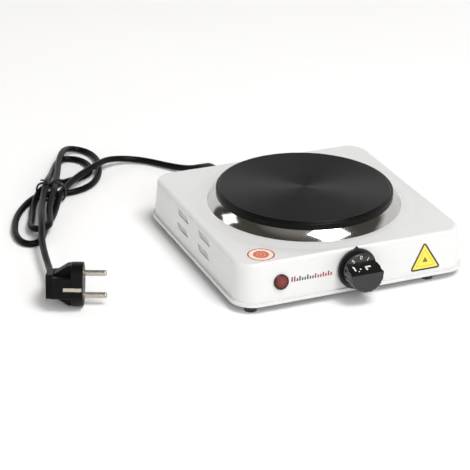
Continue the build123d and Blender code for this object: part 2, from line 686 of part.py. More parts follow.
NODES = {
    "housing_shell": housing_shell,
    "base_plate": base_plate,
    "corner_brackets": corner_brackets,
    "rubber_feet": rubber_feet,
    "foot_screws": foot_screws,
    "trim_ring": trim_ring,
    "cooking_plate": cooking_plate,
    "heating_coil": heating_coil,
    "insulating_filler": insulating_filler,
    "heat_shield": heat_shield,
    "centre_stud": centre_stud,
    "clamp_strap": clamp_strap,
    "clamp_washer": clamp_washer,
    "clamp_nut": clamp_nut,
    "plate_terminal_block": plate_terminal_block,
    "plate_terminals": plate_terminals,
    "thermal_cutout": thermal_cutout,
    "thermostat_bracket": thermostat_bracket,
    "thermostat_screws": thermostat_screws,
    "thermostat_body": thermostat_body,
    "thermostat_terminals": thermostat_terminals,
    "thermostat_shaft": thermostat_shaft,
    "knob_spring_clip": knob_spring_clip,
    "knob_bezel": knob_bezel,
    "control_knob": control_knob,
    "indicator_lens": indicator_lens,
    "neon_lamp": neon_lamp,
    "mains_terminal_block": mains_terminal_block,
    "terminal_screws": terminal_screws,
    "cord_clamp": cord_clamp,
    "inner_cord": inner_cord,
    "cord_gland": cord_gland,
    "earth_screw": earth_screw,
    "cord_lead": cord_lead,
    "cord_hank": cord_hank,
    "hank_tie": hank_tie,
    "plug_lead": plug_lead,
    "plug_body": plug_body,
    "plug_pins": plug_pins,
    "plug_earth_clips": plug_earth_clips,
    "round_sticker": round_sticker,
    "triangle_sticker": triangle_sticker,
}

os.makedirs("parts", exist_ok=True)
for name, build in NODES.items():
    export_step(build(), f"parts/{name}.step")
for name, wire in wires().items():
    export_step(wire, f"parts/{name}.step")
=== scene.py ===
import json
import math

import bpy
import numpy as np
from mathutils import Matrix, Quaternion, Vector


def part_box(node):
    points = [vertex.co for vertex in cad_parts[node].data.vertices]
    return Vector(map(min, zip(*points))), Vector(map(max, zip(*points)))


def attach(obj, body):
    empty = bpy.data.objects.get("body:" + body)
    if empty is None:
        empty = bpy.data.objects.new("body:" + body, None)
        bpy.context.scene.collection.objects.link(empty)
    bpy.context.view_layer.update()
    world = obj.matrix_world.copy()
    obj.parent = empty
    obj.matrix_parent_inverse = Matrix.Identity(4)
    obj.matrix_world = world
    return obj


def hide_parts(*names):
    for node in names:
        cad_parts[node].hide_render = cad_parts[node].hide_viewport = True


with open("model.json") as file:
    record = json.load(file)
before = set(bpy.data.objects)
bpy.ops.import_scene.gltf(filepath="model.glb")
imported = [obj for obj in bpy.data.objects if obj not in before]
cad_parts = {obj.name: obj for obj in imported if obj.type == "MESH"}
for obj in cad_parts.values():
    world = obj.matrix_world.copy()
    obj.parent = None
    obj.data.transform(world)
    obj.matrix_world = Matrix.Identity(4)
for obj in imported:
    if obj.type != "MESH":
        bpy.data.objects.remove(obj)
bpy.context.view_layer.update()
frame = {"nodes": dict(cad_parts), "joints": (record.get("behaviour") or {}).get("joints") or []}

MM = 0.001

# ---------------------------------------------------------------- studio
# A pale seamless sheet under the burner, in a room that is pale low down and
# dark above, as the polished ring shows, and three soft panels: a large one
# in front, one overhead and a small one behind. The camera stands front left.


def linear(code, alpha=1.0):
    """sRGB hex to linear RGBA: c / 12.92 below 0.04045, ((c + 0.055) / 1.055) ** 2.4 above it."""
    srgb = [int(code[i : i + 2], 16) / 255 for i in (1, 3, 5)]
    return (*[c / 12.92 if c <= 0.04045 else ((c + 0.055) / 1.055) ** 2.4 for c in srgb], alpha)


def node(tree, kind, inputs=None, stops=(), **settings):
    """Adds a node. An input is a value, or a socket to link; settings are the node's own
    properties, and stops are a colour ramp's (position, hex) pairs."""
    made = tree.nodes.new("ShaderNode" + kind)
    for number, (place, code) in enumerate(stops):
        keys = made.color_ramp.elements
        key = keys[number] if number < 2 else keys.new(place)
        key.position, key.color = place, linear(code)
    for key, value in settings.items():
        setattr(made, key, value)
    for key, value in (inputs or {}).items():
        if isinstance(value, bpy.types.NodeSocket):
            tree.links.new(value, made.inputs[key])
        else:
            made.inputs[key].default_value = value
    return made


def finish_of(name, **shader):
    """A new material with one Principled shader, set from the keywords. Returns the material,
    its tree, the shader and the Object coordinates."""
    made = bpy.data.materials.new(name)
    made.use_nodes = True
    tree = made.node_tree
    tree.nodes.clear()
    principled = node(tree, "BsdfPrincipled", {k.replace("_", " "): v for k, v in shader.items()})
    node(tree, "OutputMaterial", {"Surface": principled.outputs["BSDF"]})
    place = node(tree, "TexCoord").outputs["Object"]
    return made, tree, principled, place


def feed(principled, socket, made):
    """Links a node's first output to that socket of the shader."""
    principled.id_data.links.new(made.outputs[0], principled.inputs[socket])


AIM = Vector((-66.2, 8.3, 21.9)) * MM
AZIMUTH, ELEVATION, ROLL = math.radians(-23.33), math.radians(25.36), math.radians(0.83)
CAMERA_LENS = 139.6
STAND_OFF = 1579.3 * MM
back = Vector((
    math.sin(AZIMUTH) * math.cos(ELEVATION),
    -math.cos(AZIMUTH) * math.cos(ELEVATION),
    math.sin(ELEVATION),
))
camera = bpy.data.objects.new("camera", bpy.data.cameras.new("camera"))
camera.data.lens = CAMERA_LENS
camera.data.sensor_width = 36
camera.data.clip_end = 50
camera.location = AIM + back * STAND_OFF
camera.rotation_mode = "QUATERNION"
camera.rotation_quaternion = (-back).to_track_quat("-Z", "Y") @ Quaternion((0, 0, 1), ROLL)
bpy.context.scene.collection.objects.link(camera)
bpy.context.scene.camera = camera
bpy.context.scene.view_settings.view_transform = "Standard"


def surface(name, grid, wrap_rows=False, wrap_columns=False, smooth=True):
    """Grid of points (rows, columns, 3) in millimetres to quads between neighbours. A wrapped
    direction joins its last line to its first."""
    rows, columns = grid.shape[:2]
    index = np.arange(rows * columns).reshape(rows, columns)
    if wrap_rows:
        index = np.vstack([index, index[:1]])
    if wrap_columns:
        index = np.hstack([index, index[:, :1]])
    quads = np.stack([index[:-1, :-1], index[:-1, 1:], index[1:, 1:], index[1:, :-1]], -1).reshape(-1, 4)
    mesh = bpy.data.meshes.new(name)
    mesh.from_pydata((grid.reshape(-1, 3) * MM).tolist(), [], quads.tolist())
    mesh.validate()
    mesh.polygons.foreach_set("use_smooth", [smooth] * len(mesh.polygons))
    made = bpy.data.objects.new(name, mesh)
    bpy.context.scene.collection.objects.link(made)
    return made


# White seamless paper, matt, with a very faint drift in its tone.
SHEET_HALF = 8000.0
PAPER_DRIFT = 333.0
corners = np.array([-SHEET_HALF, SHEET_HALF])
sheet_x, sheet_y = np.meshgrid(corners, corners)
sheet = surface("floor_sheet", np.dstack([sheet_x, sheet_y, np.zeros((2, 2))]))
paper, tree, principled, place = finish_of("seamless_paper", Roughness=0.9)
tone = node(tree, "TexNoise", {"Vector": place, "Scale": 1 / (PAPER_DRIFT * MM), "Detail": 2.0}).outputs[0]
whites = ((0.3, "#fbfbfb"), (0.7, "#fdfdfd"))
feed(principled, "Base Color", node(tree, "ValToRGB", {"Fac": tone}, stops=whites))
sheet.data.materials.append(paper)

world = bpy.data.worlds.new("studio_room")
world.use_nodes = True
bpy.context.scene.world = world
tree = world.node_tree
tree.nodes.clear()
facing = node(tree, "TexCoord").outputs["Generated"]
height = node(tree, "SeparateXYZ", {"Vector": facing}).outputs["Z"]
levels = ((0.0, "#fcfcfc"), (0.46, "#f8f8f8"), (0.57, "#5e5a56"), (0.84, "#54504c"), (0.97, "#9a9692"))
room = node(tree, "ValToRGB", {"Fac": height}, stops=levels).outputs[0]
# one darker drape hangs behind and to the left
DRAPE_TOWARD = (-0.45, 0.79, 0.42)
drape = node(tree, "VectorMath", {0: facing, 1: DRAPE_TOWARD}, operation="DOT_PRODUCT").outputs["Value"]
shade = node(tree, "ValToRGB", {"Fac": drape}, stops=((0.982, "#ffffff"), (0.990, "#5a5652"))).outputs[0]
room = node(tree, "MixRGB", {"Fac": 1.0, "Color1": room, "Color2": shade}, blend_type="MULTIPLY").outputs[0]
glow = node(tree, "Background", {"Color": room, "Strength": 1.0}).outputs[0]
node(tree, "OutputWorld", {"Surface": glow})


def soft_panel(name, toward, metres, size, watts):
    """A square lit cloth of that size, the given distance from the burner in that direction, facing it."""
    lit = bpy.data.lights.new(name, "AREA")
    lit.shape, lit.size, lit.energy = "SQUARE", size, watts
    made = bpy.data.objects.new(name, lit)
    toward = Vector(toward).normalized()
    made.location = toward * metres
    made.rotation_mode = "QUATERNION"
    made.rotation_quaternion = toward.to_track_quat("Z", "Y")
    bpy.context.scene.collection.objects.link(made)


soft_panel("front_panel", (-0.05, -0.80, 0.60), 5.0, 3.0, 90.0)
soft_panel("overhead_panel", (0.20, -0.37, 0.90), 3.45, 1.5, 76.0)
soft_panel("back_panel", (-0.55, 0.60, 0.58), 3.9, 1.02, 8.0)

# ---------------------------------------------------------------- mains cord
# Round three-core mains cord, 6 mm over its rubber sheath, extruded and
# satin. It leaves the gland behind the housing, drops to the table, is
# folded into a loose hank and runs on to its plug.
CORD = 6.0 * MM
LEAD_RUN = [
    (-25, 145, 20), (-25, 161, 20), (-28, 178, 12.5), (-37, 192, 6), (-50, 211, 3.7),
    (-66, 231.5, 3.6), (-85, 239.5, 5.5), (-104.5, 234.5, 9.5),
]
HANK_RUN = [
    # in over the far loop, down the near side and round the outer near loop
    (-121, 221, 11), (-137, 209, 10.8), (-150, 198, 10.5), (-161, 186, 10.3), (-171, 173, 10),
    (-178, 160.5, 8.3), (-184, 149, 5.8), (-191, 137, 3.8), (-200.5, 124, 3.1), (-207, 111, 3.1),
    (-211.5, 101, 3.1), (-217, 94, 3.1), (-224, 92.5, 3.1), (-229.8, 97, 3.1), (-232, 106, 3.1),
    (-231.5, 117, 3.1), (-229, 128, 3.1), (-224, 143, 3.1), (-216, 159, 3.1), (-206, 173, 3.1),
    # under the waist and round the outer far loop
    (-197, 183, 3.1), (-187.5, 189.5, 3.1), (-178, 190, 3.1), (-168.5, 187, 3.1), (-159, 186, 3.1),
    (-147, 188, 3.1), (-134, 195, 3.1), (-122, 210, 3.1), (-114, 230, 3.1), (-109, 248, 3.1),
    (-109, 263, 3.1), (-111.5, 272.5, 3.1), (-116.5, 279.5, 3.6), (-123.5, 281.5, 5), (-130.5, 278, 7.2),
    (-137, 270, 9.4), (-144, 257, 11), (-152, 239, 11), (-160, 217, 11.2), (-169, 194, 12),
    # over the waist and round the inner near loop
    (-178, 172, 13.2), (-186, 156, 12.4), (-192, 142, 10.8), (-195.8, 129, 10.0), (-198.8, 118.5, 9.9),
    (-201.8, 111, 9.9), (-207.3, 107.2, 9.6), (-213.2, 109.2, 8.7), (-216.4, 115.2, 7.4), (-214.8, 126, 5.7),
    (-211.2, 135, 4.6), (-207.5, 145, 3.8), (-203.5, 157, 3.4), (-198.5, 169, 4.2), (-192.5, 179.5, 7.4),
    # across the waist and round the inner far loop
    (-185.5, 187.5, 10.1), (-178, 194.5, 9.3), (-170, 202, 5.4), (-160, 209, 3.4), (-148, 213, 3.1),
    (-137, 216, 3.1), (-128, 221, 3.1), (-123, 230, 3.1), (-121, 241, 3.1), (-122.5, 251, 3.1),
    (-127.5, 259.5, 3.1), (-134.5, 264, 3.1), (-142, 262.5, 3.6), (-149, 254, 4.3), (-156, 240.5, 5.4),
    # over everything and away to the plug
    (-163, 226, 7), (-169.5, 211, 11), (-178, 192, 16.1), (-186, 174, 15.9), (-193, 157, 14.6),
    (-200.5, 138, 15), (-207, 117, 16.6), (-212.5, 99, 16), (-218, 82, 13.8),
]
PLUG_RUN = [(-222, 66, 12.4), (-225.5, 48, 12), (-229.6, 23, 11.4), (-233.2, 7.1, 14.2)]
route = LEAD_RUN + HANK_RUN + PLUG_RUN
line = bpy.data.curves.new("mains_cord", "CURVE")
line.dimensions = "3D"
spline = line.splines.new("NURBS")
spline.points.add(len(route) - 1)
for point, spot in zip(spline.points, route):
    point.co = (*[c * MM for c in spot], 1)
spline.order_u = 3
spline.use_endpoint_u = True
spline.resolution_u = 8
line.bevel_depth = CORD / 2
line.bevel_resolution = 5
line.use_fill_caps = True
mains_cord = bpy.data.objects.new("mains_cord", line)
bpy.context.scene.collection.objects.link(mains_cord)

# Extruded rubber sheath: black and satin, with a faint dry bloom in patches
# and the fine grain that the die leaves, which break up its highlights.
SHEATH_BLOOM, SHEATH_GRAIN = 11.1, 1.11
sheath, tree, principled, place = finish_of("extruded_rubber_sheath", Roughness=0.34, Specular_IOR_Level=0.11)
patches = {"Vector": place, "Scale": 1 / (SHEATH_BLOOM * MM), "Detail": 4.0, "Roughness": 0.6}
bloom = node(tree, "TexNoise", patches).outputs[0]
blacks = ((0.3, "#040404"), (0.72, "#090909"))
feed(principled, "Base Color", node(tree, "ValToRGB", {"Fac": bloom}, stops=blacks))
grain = node(tree, "TexNoise", {"Vector": place, "Scale": 1 / (SHEATH_GRAIN * MM), "Detail": 2.0}).outputs[0]
feed(principled, "Normal", node(tree, "Bump", {"Height": grain, "Distance": 0.05 * MM, "Strength": 0.5}))
line.materials.append(sheath)

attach(mains_cord, "burner")
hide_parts("cord_lead", "cord_hank", "plug_lead")

# ---------------------------------------------------------------- plug and gland
# Non-rewirable earthed plug and the gland's strain relief, both moulded straight
# on the cord in black PVC from a spark-eroded tool, so they are a little
# duller than the sheath. Pins and side contacts are nickel on brass.


def dress(material, *names):
    """Every material slot of these CAD nodes takes the material."""
    for name in names:
        for slot in frame["nodes"][name].material_slots:
            slot.material = material


def mottled(name, dark, light, cloud, grain, depth, stretch=(1, 1, 1), **shader):
    """A finish whose colour drifts between two hex values in clouds that many millimetres
    across, under a grain that many millimetres wide which stands up by depth."""
    made, tree, principled, place = finish_of(name, **shader)
    place = node(tree, "Mapping", {"Vector": place, "Scale": stretch}).outputs[0]
    drift = node(tree, "TexNoise", {"Vector": place, "Scale": 1 / (cloud * MM), "Detail": 3.0}).outputs[0]
    tint = node(tree, "ValToRGB", {"Fac": drift}, stops=((0.32, dark), (0.68, light)))
    feed(principled, "Base Color", tint)
    fine = {"Vector": place, "Scale": 1 / (grain * MM), "Detail": 3.0, "Roughness": 0.65}
    height = node(tree, "TexNoise", fine).outputs[0]
    feed(principled, "Normal", node(tree, "Bump", {"Height": height, "Distance": depth * MM}))
    return made


moulded = mottled(
    "moulded_black_pvc", "#050505", "#0a0a0a", cloud=6.25, grain=0.77, depth=0.04,
    Roughness=0.42, Specular_IOR_Level=0.12,
)
dress(moulded, "plug_body", "cord_gland")
nickel = mottled(
    "nickel_on_brass", "#a59e92", "#cfc8bc", cloud=4.17, grain=2.08, depth=0.01,
    stretch=(1, 8.33, 8.33), Metallic=1.0, Roughness=0.2,
)
dress(nickel, "plug_pins", "plug_earth_clips")

# ---------------------------------------------------------------- hank tie
# Twist tie: a soft iron wire in a black plastic cover, wrapped twice round
# the hank's waist, its two ends brought out over the top.
WAIST = np.array([-178.0, 180.0, 9.9])
WAIST_RUN = np.array([0.469, 0.883, 0.0])
WAIST_ACROSS = np.array([0.883, -0.469, 0.0])
UPWARD = np.array([0, 0, 1.0])
TIE_R = 0.75
TIE_HALF_WIDE, TIE_HALF_HIGH, TIE_HALF_LONG = 13.4, 9.1, 2.2
TIE_SQUARENESS = 0.62


def rod(name, path, radius, sides=10):
    """A round rod along a path: centre + radius (cos a . side + sin a . up), with side and up
    square to the run. Both ends close to a point."""
    run = np.gradient(path, axis=0)
    path, run = (np.vstack([row[:1], row, row[-1:]]) for row in (path, run))
    radius = np.r_[0, np.broadcast_to(radius, len(path) - 2), 0]
    run /= np.linalg.norm(run, axis=1, keepdims=True)
    side = np.cross(run, WAIST_RUN)
    side /= np.linalg.norm(side, axis=1, keepdims=True)
    up = np.cross(side, run)
    a = np.linspace(0, 2 * np.pi, sides, endpoint=False)[None, :, None]
    ring = np.cos(a) * side[:, None] + np.sin(a) * up[:, None]
    return surface(name, path[:, None] + radius[:, None, None] * ring, wrap_columns=True)


turn = np.linspace(np.pi / 2, np.pi / 2 + 4 * np.pi, 145)
squared = [np.abs(f(turn)) ** TIE_SQUARENESS * np.sign(f(turn)) for f in (np.cos, np.sin)]
wrap = (
    WAIST
    + TIE_HALF_WIDE * squared[0][:, None] * WAIST_ACROSS
    + TIE_HALF_HIGH * squared[1][:, None] * UPWARD
    + np.linspace(-TIE_HALF_LONG, TIE_HALF_LONG, len(turn))[:, None] * WAIST_RUN
)
# each loose end leaves the wrap sideways and arches over, as rise . sin(2.2 t)
out = np.linspace(0, 1, 12)[:, None]
leave = [
    wrap[k] + out * (across * WAIST_ACROSS + along * WAIST_RUN) + np.sin(out * 2.2) * rise * UPWARD
    for k, across, along, rise in ((0, -9.5, 2.5, 2.2), (-1, 10.5, 1.0, 2.0))
]
tie = rod("hank_tie_wire", np.vstack([leave[0][:0:-1], wrap, leave[1][1:]]), TIE_R)
cover = mottled("black_tie_cover", "#0e0e0e", "#1b1b1b", cloud=2, grain=1.11, depth=0.03, Roughness=0.35)
tie.data.materials.append(cover)
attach(tie, "burner")
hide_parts("hank_tie")

# ---------------------------------------------------------------- housing
# Pressed steel tray, vitreous enamel fired on in white: hard gloss over a
# faint orange peel about 2 mm across, a touch greyer where it is thin.
enamel = mottled(
    "white_vitreous_enamel", "#d4d4d3", "#d9d9d8", cloud=71.4, grain=2.08, depth=0.02,
    Roughness=0.24, IOR=1.5, Coat_Weight=0.2, Coat_Roughness=0.08,
)
dress(enamel, "housing_shell")

# The vents are cut on three sides and their flaps pressed inwards, so each
# opening shows an enamelled scoop, closed at its foot and open at the top.
PLATE_Y = 10.3
LIP_TOP, HOUSING_TOP = 9.25, 42.8
WALL_FOOT, WALL_HEAD = 105.3, 103.9
WALL_LEAN = (WALL_FOOT - WALL_HEAD) / (HOUSING_TOP - LIP_TOP)
VENT_REACH, VENT_RISE, VENT_SLANT, VENT_DEEP = 12.0, 3.1, 4.5, 3.4
VENT_BEHIND = 0.95  # from the wall's outer face to the flap
VENT_Y, VENT_Z = 24.0, (22.0, 34.8)


def scoop(side, y, z):
    """A flap behind a vent: it leans in by (0.15 + 0.85 t) of its depth from foot to top, and its
    two ends come back to the wall as 1 - s^8."""
    s, t = np.meshgrid(np.linspace(-1, 1, 33), np.linspace(0, 1, 9))
    up = z + VENT_RISE * (2 * t - 1)
    wall = WALL_FOOT - WALL_LEAN * (up - LIP_TOP) - VENT_BEHIND
    deep = VENT_DEEP * (0.15 + 0.85 * t) * (1 - s**8)
    along = PLATE_Y + y + VENT_REACH * s + VENT_SLANT * (t - 0.5)
    return np.dstack([side * (wall - deep), along, up])[:, ::-side]


for side, where in ((-1, "left"), (1, "right")):
    for number, (y, z) in enumerate([(y, z) for z in VENT_Z for y in (-VENT_Y, VENT_Y)], 1):
        flap = surface(f"vent_flap_{where}_{number}", scoop(side, y, z))
        wall = flap.modifiers.new("sheet", "SOLIDIFY")
        wall.thickness, wall.offset = 0.6 * MM, -1
        flap.data.materials.append(enamel)
        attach(flap, "burner")

# ---------------------------------------------------------------- base and feet
# Galvanised base sheet with its zinc spangle about 8 mm across, spot-welded
# brackets of the same sheet, zinc-plated screws and black rubber feet.
zinc, tree, principled, place = finish_of("hot_dip_zinc", Metallic=1.0, Roughness=0.42)
SPANGLE = 7.7
flower = node(tree, "TexVoronoi", {"Vector": place, "Scale": 1 / (SPANGLE * MM)}, feature="SMOOTH_F1")
grey = node(tree, "SeparateXYZ", {"Vector": flower.outputs["Color"]}).outputs[0]
greys = ((0.1, "#8d9093"), (0.9, "#b9bcbe"))
feed(principled, "Base Color", node(tree, "ValToRGB", {"Fac": grey}, stops=greys))
feed(principled, "Normal", node(tree, "Bump", {"Height": grey, "Distance": 0.02 * MM}))
dress(zinc, "base_plate", "corner_brackets")
plated = mottled(
    "zinc_plated_steel", "#8f9193", "#b4b6b8", cloud=4.55, grain=1.11, depth=0.01,
    Metallic=1.0, Roughness=0.3,
)
dress(plated, "foot_screws")
foot_rubber = mottled(
    "moulded_foot_rubber", "#1b1b1b", "#262626", cloud=5, grain=0.91, depth=0.06,
    Roughness=0.7, Sheen_Weight=0.15,
)
dress(foot_rubber, "rubber_feet")

# ---------------------------------------------------------------- trim ring
# Thin stainless sheet spun to a domed shoulder and buffed on the lathe: a
# near mirror with hair-fine marks running round it, drawn 0.4 mm apart.
WAVE_SPACING = 0.314  # between the lines of a wave texture of scale 1
IN_MM = (MM, MM, MM)
ROUND = {"wave_type": "RINGS", "rings_direction": "Z"}
plate_axis = (0, PLATE_Y * MM, 0)
HAIR = 0.4
ring_steel, tree, principled, place = finish_of("buffed_stainless", Metallic=1.0, Roughness=0.09)
centred = {"Vector": place, "Location": plate_axis, "Scale": IN_MM}
middle = node(tree, "Mapping", centred, vector_type="TEXTURE").outputs[0]
lines = {
    "Vector": middle, "Scale": WAVE_SPACING / HAIR, "Distortion": 1.5, "Detail": 3.0, "Detail Scale": 0.4,
}
hair = node(tree, "TexWave", lines, **ROUND).outputs["Fac"]
steels = ((0.2, "#b8b7b4"), (0.8, "#c6c5c2"))
feed(principled, "Base Color", node(tree, "ValToRGB", {"Fac": hair}, stops=steels))
feed(principled, "Normal", node(tree, "Bump", {"Height": hair, "Distance": 0.002 * MM}))
dress(ring_steel, "trim_ring")

# ---------------------------------------------------------------- cooking plate
# Grey cast iron, its face turned on the lathe and coated in heat-proof black:
# the fine turning runs in rings, so light lies across it as two soft wedges.
# The turning is drawn 1.2 mm apart; the real one is finer.
TURNING, CAST_PATCH = 1.2, 20.0
iron, tree, principled, place = finish_of(
    "turned_black_cast_iron", Metallic=0.0, Roughness=0.38, Specular_IOR_Level=0.125,
    Anisotropic=0.8, Anisotropic_Rotation=0.25,
)
centred = {"Vector": place, "Location": plate_axis, "Scale": IN_MM}
middle = node(tree, "Mapping", centred, vector_type="TEXTURE").outputs[0]
lines = {"Vector": middle, "Scale": WAVE_SPACING / TURNING, "Distortion": 0.4, "Detail": 2.0}
turned = node(tree, "TexWave", lines, **ROUND).outputs["Fac"]
patches = {"Vector": middle, "Scale": 1 / CAST_PATCH, "Detail": 5.0, "Roughness": 0.6}
cast = node(tree, "TexNoise", patches).outputs[0]
blend = node(tree, "Math", {0: turned, 1: 0.25, 2: cast}, operation="MULTIPLY_ADD").outputs[0]
blacks = ((0.35, "#060605"), (0.9, "#0d0c0b"))
feed(principled, "Base Color", node(tree, "ValToRGB", {"Fac": blend}, stops=blacks))
feed(principled, "Tangent", node(tree, "Tangent", direction_type="RADIAL", axis="Z"))
feed(principled, "Normal", node(tree, "Bump", {"Height": turned, "Distance": 0.012 * MM}))
dress(iron, "cooking_plate")

# ---------------------------------------------------------------- front panel
# Everything on the sloping front is laid out from the knob's axis: u to the
# right, v up the panel, w out of it, in millimetres.
hinge = frame["joints"][0]
PANEL_AT = Vector(hinge["pos_m"])
OUT = -Vector(hinge["axis"]).normalized()
UP = OUT.cross(Vector((1, 0, 0)))
PANEL_TURN = math.atan2(UP.z, UP.y)


def on_panel(u, v, w):
    """Panel millimetres to the burner's metres: axis point + u right + v up + w out."""
    return PANEL_AT + MM * (u * Vector((1, 0, 0)) + v * UP + w * OUT)


def across_panel(tree, place, u, v):
    """Millimetres right, up and out from a point of the panel, as separate outputs and as one vector."""
    laid = {"Vector": place, "Location": on_panel(u, v, 0), "Rotation": (PANEL_TURN, 0, 0), "Scale": IN_MM}
    flat = node(tree, "Mapping", laid, vector_type="TEXTURE").outputs[0]
    return node(tree, "SeparateXYZ", {"Vector": flat}), flat


# Red lens of the glow lamp: moulded clear-tinted plastic with fine rings on
# its inner face, snapped into the panel. Unlit, it is brick red, and its
# colour is darkened towards the rim as painted shade.
LENS_R, LENS_RIB = 6.6, 1.05
low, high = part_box("indicator_lens")
lens_middle = ((low + high) / 2 - PANEL_AT) / MM
lens, tree, principled, place = finish_of(
    "tinted_red_lens", Roughness=0.12, Specular_IOR_Level=0.3,
    Subsurface_Weight=0.15, Subsurface_Radius=(0.004, 0.001, 0.001),
)
_, flat = across_panel(tree, place, lens_middle.x, lens_middle.dot(UP))
level = node(tree, "VectorMath", {0: flat, 1: (1, 1, 0)}, operation="MULTIPLY").outputs[0]
radius = node(tree, "VectorMath", {0: level}, operation="LENGTH").outputs["Value"]
spread = node(tree, "Math", {0: radius, 1: LENS_R}, operation="DIVIDE").outputs[0]
# painted shade: the red darkens from the centre of the lens to its rim
reds_with_painted_rim_shade = ((0.0, "#7e3c35"), (0.62, "#6c2c26"), (0.84, "#421613"), (1.0, "#2c0e0c"))
feed(principled, "Base Color", node(tree, "ValToRGB", {"Fac": spread}, stops=reds_with_painted_rim_shade))
ribs = node(tree, "TexWave", {"Vector": flat, "Scale": WAVE_SPACING / LENS_RIB}, **ROUND).outputs["Fac"]
feed(principled, "Normal", node(tree, "Bump", {"Height": ribs, "Distance": 0.06 * MM, "Strength": 0.5}))
dress(lens, "indicator_lens")

# Knob and bezel: black phenolic, pressed in a polished mould, with faint
# flow clouds, in a bezel of slightly duller black nylon.
phenolic = mottled(
    "polished_black_phenolic", "#0a0a0a", "#121212", cloud=9.1, grain=1.43, depth=0.012,
    Roughness=0.2, IOR=1.6,
)
dress(phenolic, "control_knob")
bezel_black = mottled(
    "black_bezel_nylon", "#0d0d0d", "#161616", cloud=5, grain=0.83, depth=0.03, Roughness=0.34
)
dress(bezel_black, "knob_bezel")


def printed(name, shapes, material, body):
    """Flat shapes as one print. Each is its outline's (u, v) points, the place of their origin,
    and which way u and v run from there, in panel millimetres: origin + u . run_u + v . run_v."""
    points, faces = [], []
    for outline, at, run_u, run_v in shapes:
        outline = np.asarray(outline, float)
        spots = np.asarray(at) + outline[:, :1] * np.asarray(run_u) + outline[:, 1:] * np.asarray(run_v)
        faces.append(list(range(len(points), len(points) + len(spots))))
        points += [on_panel(*spot) for spot in spots.tolist()]
    mesh = bpy.data.meshes.new(name)
    mesh.from_pydata(points, [], faces)
    made = bpy.data.objects.new(name, mesh)
    bpy.context.scene.collection.objects.link(made)
    made.data.materials.append(material)
    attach(made, body)
    return made


# Dial marks on the knob: numbers round the skirt, pad-printed in white, and
# white bars and dots on the sloping finger face, drawn as thin flat pieces.
dial_white = mottled(
    "white_dial_marks", "#d9d9d7", "#efefec", cloud=1.11, grain=0.4, depth=0.004, Roughness=0.45
)
SKIRT_TOP = 10.0
FACE_FOOT, FACE_TOP = np.array([8.0, 9.6]), np.array([1.0, 22.9])  # v and w of the finger face's ends
SLOPE = (FACE_FOOT - FACE_TOP) / np.linalg.norm(FACE_FOOT - FACE_TOP)
SLOPE_OUT = np.array([-SLOPE[1], SLOPE[0]])
PRINT_CLEAR = 0.04


def bar(half_u, half_v, cut=0.0):
    """Four corners of a bar, its top moved sideways by cut."""
    return [(-half_u, -half_v), (half_u, -half_v), (half_u + cut, half_v), (-half_u + cut, half_v)]


def face_at(u, v):
    """A point of the finger face, lifted clear of it by the thickness of the print."""
    w = FACE_FOOT[1] - (FACE_FOOT[0] - v) * SLOPE[1] / SLOPE[0]
    return (u, v + PRINT_CLEAR * SLOPE_OUT[0], w + PRINT_CLEAR * SLOPE_OUT[1])


on_slope = ((1, 0, 0), (0, SLOPE[0], SLOPE[1]))
a = np.linspace(0, 2 * np.pi, 25)[:-1]
dot = np.c_[np.cos(a), np.sin(a)]
marks = [
    (bar(2.6, 0.75), face_at(3.7, 4.9), *on_slope),
    (bar(0.7, 1.6), face_at(1.8, 4.0), *on_slope),
    (bar(0.6, 2.4), face_at(-8.6, 4.6), *on_slope),
    (bar(0.5, 0.7, 0.5), face_at(-9.4, 5.7), *on_slope),
    (0.7 * dot, face_at(-3.6, 4.2), *on_slope),
    (0.5 * dot, face_at(-5.9, 3.1), *on_slope),
]
printed("knob_face_marks", marks, dial_white, "knob")


NUMERAL_R, NUMERAL_HIGH = 11.3, 4.6


def numeral(text, u, v, size, lean):
    """One printed number on the knob's skirt, centred at u, v and turned to stand out from the axis."""
    curve = bpy.data.curves.new("numeral", "FONT")
    curve.body, curve.size, curve.align_x, curve.align_y = text, size * MM, "CENTER", "CENTER"
    holder = bpy.data.objects.new("numeral", curve)
    bpy.context.scene.collection.objects.link(holder)
    bpy.context.view_layer.update()
    mesh = bpy.data.meshes.new_from_object(holder)
    bpy.data.objects.remove(holder)
    axes = Matrix((Vector((1, 0, 0)), UP, OUT)).transposed().to_4x4()
    centre = Matrix.Translation(on_panel(u, v, SKIRT_TOP + PRINT_CLEAR))
    mesh.transform(centre @ axes @ Matrix.Rotation(lean, 4, "Z"))
    made = bpy.data.objects.new(f"skirt_numeral_{text}", mesh)
    bpy.context.scene.collection.objects.link(made)
    made.data.materials.clear()
    made.data.materials.append(dial_white)
    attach(made, "knob")


for text, degrees in (("0", 3), ("1", 36), ("5", -36)):
    turn = math.radians(degrees)
    numeral(text, NUMERAL_R * math.sin(turn), NUMERAL_R * math.cos(turn), NUMERAL_HIGH, -turn)

# A decorative row of slanted ticks beside the lamp, screen-printed in two
# colours: no lettering.
TICKS_FIRST, TICKS_LAST, TICKS_FOOT = -58.3, -22.8, -2.6
TICKS_MIDDLE, TICKS_HALF = (-40.5, -1.3), 18.5
INK_GRAIN, INK_CLEAR = 0.33, 0.03
two_tone, tree, principled, place = finish_of("two_colour_screen_ink", Roughness=0.4)
side, flat = across_panel(tree, place, *TICKS_MIDDLE)
span = {"Value": side.outputs[0], "From Min": -TICKS_HALF, "From Max": TICKS_HALF}
share = node(tree, "MapRange", span).outputs[0]
feed(principled, "Base Color", node(tree, "ValToRGB", {"Fac": share}, stops=(
    (0.0, "#8e1f2b"), (0.12, "#8e1f2b"), (0.125, "#3c3c3e"), (0.575, "#47474a"), (0.58, "#9c2833"),
    (1.0, "#a2303a"),
)))
speckle = node(tree, "TexNoise", {"Vector": flat, "Scale": 1 / INK_GRAIN, "Detail": 2.0}).outputs[0]
feed(principled, "Normal", node(tree, "Bump", {"Height": speckle, "Distance": 0.004 * MM}))
heights = np.array([4.4, 4.4, 2.6, 4.2, 2.6, 2.6, 4.2, 2.6, 2.6, 3.9, 2.6, 2.6, 3.9, 2.6, 4.2, 2.6])
